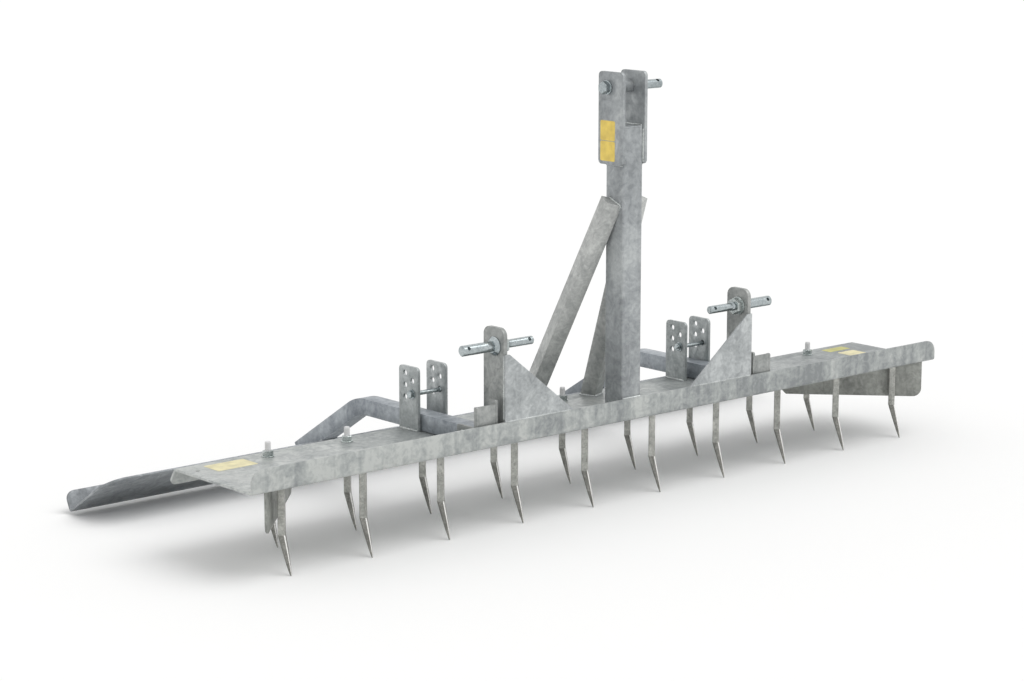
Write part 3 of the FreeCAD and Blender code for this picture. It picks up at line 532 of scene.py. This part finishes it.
stop_zinc = zinc_coat("stop_zinc", tint(146, 152, 152), tint(170, 175, 175), tint(194, 198, 198),
                      patch_scale=10.0)
eased_steel(stop_zinc, *["stop_bar_%s_%s" % (where, side) for where in ("inner", "outer")
                         for side in ("left", "right")])
for side, sign in SIDES:
    middle = Vector((0, 0.275 - HALF_DEPTH, 0.329))
    across = Vector((sign, 0, 0))
    parts = [turned_piece("stop_shaft", middle, across,
                          [(0.4255, 0.005)] + thread_rows(0.4262, 0.452, 0.006, 0.00175)
                          + [(0.4522, 0.006), (0.5455, 0.006)], vertices=20)]
    for start in (0.4395, 0.543):
        parts.append(turned_piece("stop_washer", middle, across,
                                  [(start, 0.0127), (start + 0.0003, 0.013),
                                   (start + 0.0022, 0.013), (start + 0.0025, 0.0127)]))
    parts.append(hex_head("stop_head", middle + across * 0.5455, across, 0.019, 0.008))
    parts.append(hex_nut("stop_nut", middle + across * 0.4395, -across, 0.019, 0.008, 0.0061))
    fit_piece(join_pieces("threaded_stop_bolt_" + side, parts), pin_zinc,
              stands_for=["stop_bolt_" + side])
    weld_runs("stop_weld_" + side, 0.0038, sign, [
        ((0.442, 0.253, ON_DECK), (0.442, 0.326, ON_DECK)),
        ((0.543, 0.253, ON_DECK), (0.543, 0.326, ON_DECK))])


# Side boards: 6 mm plates under the deck's ends, toed in to gather the sand, with the front
# lower corner rounded and the rear one cut off. Short stitch welds on both faces hold them.

side_zinc = zinc_coat("side_zinc", tint(124, 126, 122), tint(148, 150, 145), tint(172, 174, 169),
                      patch_scale=7.0)
eased_steel(side_zinc, "side_board_left", "side_board_right")
toe_in = math.radians(46)
for side, sign in SIDES:
    stitches = []
    for start in (0.03, 0.19, 0.35):
        for face in (-0.0032, 0.0032):
            stitches.append([(1.205 - along * math.cos(toe_in) + face * math.sin(toe_in),
                              0.010 + along * math.sin(toe_in) + face * math.cos(toe_in), 0.2245)
                             for along in (start, start + 0.06)])
    weld_runs("side_board_weld_" + side, 0.004, sign, stitches)


# Levelling board: one 6 mm sheet folded into a sloping wall and a lip, in duller and bluer
# zinc than the frame, and the two 50 x 45 mm arms that carry it, welded on along their tails.

board_zinc = zinc_coat("board_zinc", tint(116, 120, 123), tint(142, 146, 149), tint(168, 172, 175),
                       patch_scale=5.0)
arm_zinc = zinc_coat("arm_zinc", tint(128, 134, 140), tint(154, 160, 166), tint(178, 184, 188))
eased_steel(board_zinc, "levelling_board", body="levelling_body", slot="galvanised_board")
eased_steel(arm_zinc, "arm_left", "arm_right", body="levelling_body", slot="galvanised_board")
for side, sign in SIDES:
    weld_runs("arm_weld_" + side, 0.0042, sign, [
        ((0.4825, 0.690, 0.1286), (0.4825, 0.797, 0.0618)),
        ((0.5325, 0.690, 0.1286), (0.5325, 0.797, 0.0618)),
        ((0.486, 0.7982, 0.0612), (0.529, 0.7982, 0.0612))],
        body="levelling_body")


# Film patches: thin yellow self-adhesive film with nothing on it, pressed on the deck's ends
# and on the left ear, a little faded and scuffed.

def film(name, colour):
    """Thin coloured film, faded in clouds and finely scuffed."""
    skin = bpy.data.materials.new(name)
    skin.use_nodes = True
    tree = skin.node_tree
    shader = tree.nodes["Principled BSDF"]
    place = add_node(tree, "TexCoord").outputs["Object"]
    fading = add_node(tree, "TexNoise", {"Vector": place, "Scale": 40.0,
                                         "Detail": 5.0}).outputs["Fac"]
    ramp = add_node(tree, "ValToRGB", {"Fac": fading})
    ramp.color_ramp.elements[0].position = 0.3
    ramp.color_ramp.elements[0].color = tint(*[0.90 * c for c in colour])
    ramp.color_ramp.elements[1].position = 0.7
    ramp.color_ramp.elements[1].color = tint(*[min(1.04 * c, 250) for c in colour])
    tree.links.new(ramp.outputs["Color"], shader.inputs["Base Color"])
    scuffs = add_node(tree, "TexNoise", {"Vector": place, "Scale": 400.0,
                                         "Detail": 3.0}).outputs["Fac"]
    bump = add_node(tree, "Bump", {"Strength": 0.1, "Distance": 0.0002, "Height": scuffs})
    tree.links.new(bump.outputs["Normal"], shader.inputs["Normal"])
    shader.inputs["Roughness"].default_value = 0.45
    return skin


def film_patch(name, middle, wide, deep, outward, finish):
    """Round-cornered patch on a face that looks along the outward direction."""
    bpy.ops.object.select_all(action="DESELECT")
    outward = Vector(outward)
    bpy.ops.mesh.primitive_plane_add(size=1, location=Vector(middle) - Vector((0, HALF_DEPTH, 0)),
                                     rotation=outward.to_track_quat("Z", "Y").to_euler())
    bpy.context.object.scale = (wide, deep, 1)
    bpy.ops.object.transform_apply(location=True, rotation=True, scale=True)
    start_editing()
    bpy.ops.mesh.bevel(offset=0.004, segments=3, affect="VERTICES")
    bpy.ops.mesh.select_all(action="SELECT")
    bpy.ops.mesh.extrude_region_move(TRANSFORM_OT_translate={"value": outward * 0.0004})
    fit_piece(close_piece(name), finish)


pale_film = film("pale_film", (232, 223, 177))
yellow_film = film("yellow_film", (243, 212, 104))
green_film = film("green_film", (198, 194, 112))
film_patch("deck_patch_left", (-1.123, 0.273, DECK_TOP), 0.120, 0.068, (0, 0, 1), pale_film)
film_patch("deck_patch_right_1", (1.126, 0.285, DECK_TOP), 0.092, 0.038, (0, 0, 1), green_film)
film_patch("deck_patch_right_2", (1.123, 0.211, DECK_TOP), 0.070, 0.068, (0, 0, 1), pale_film)
film_patch("ear_patch_1", (-0.045, 0.0615, 1.0070), 0.056, 0.053, (-1, 0, 0), yellow_film)
film_patch("ear_patch_2", (-0.045, 0.0615, 0.9525), 0.056, 0.053, (-1, 0, 0), yellow_film)


# Studio: a pale floor without an end, an even sky that shows white and lights a little less,
# one soft lamp high in front on the right, and the camera at the photograph's place.

SKY_LIGHT = 0.72

bpy.ops.object.select_all(action="DESELECT")
bpy.ops.mesh.primitive_plane_add(size=160)
floor = bpy.context.object
floor.name = "studio_floor"
paper = bpy.data.materials.new("studio_paper")
paper.use_nodes = True
shader = paper.node_tree.nodes["Principled BSDF"]
shader.inputs["Base Color"].default_value = (0.985, 0.985, 0.98, 1)
shader.inputs["Roughness"].default_value = 0.9
shader.inputs["Specular IOR Level"].default_value = 0.0
floor.data.materials.append(paper)

sky = bpy.data.worlds.new("studio_sky")
sky.use_nodes = True
bpy.context.scene.world = sky
tree = sky.node_tree
seen = add_node(tree, "LightPath")
direct = add_node(tree, "Math", {0: seen.outputs["Is Camera Ray"],
                                 1: seen.outputs["Is Glossy Ray"]}, operation="MAXIMUM")
direct = add_node(tree, "Math", {0: direct.outputs[0], 1: seen.outputs["Is Transmission Ray"]},
                  operation="MAXIMUM")
strength = add_node(tree, "MapRange", {"Value": direct.outputs[0], "To Min": SKY_LIGHT,
                                       "To Max": 1.0})
backdrop = tree.nodes["Background"]
backdrop.inputs["Color"].default_value = (1, 1, 1, 1)
tree.links.new(strength.outputs["Result"], backdrop.inputs["Strength"])

lamp_data = bpy.data.lights.new("studio_lamp", "SUN")
lamp_data.energy = 1.12
lamp_data.angle = math.radians(50)
lamp = bpy.data.objects.new("studio_lamp", lamp_data)
lamp.rotation_euler = Vector((-0.35, 0.45, -1.0)).to_track_quat("-Z", "Y").to_euler()
bpy.context.collection.objects.link(lamp)

camera_data = bpy.data.cameras.new("photo_camera")
camera_data.lens = 88.68
camera_data.sensor_width = 36
camera_data.clip_end = 300
camera = bpy.data.objects.new("photo_camera", camera_data)
camera.location = (-4.58677, -5.26426, 1.74105)
camera.rotation_euler = [math.radians(angle) for angle in (78.952, 0, -40.796)]
bpy.context.collection.objects.link(camera)
bpy.context.scene.camera = camera
bpy.context.scene.view_settings.view_transform = "Standard"
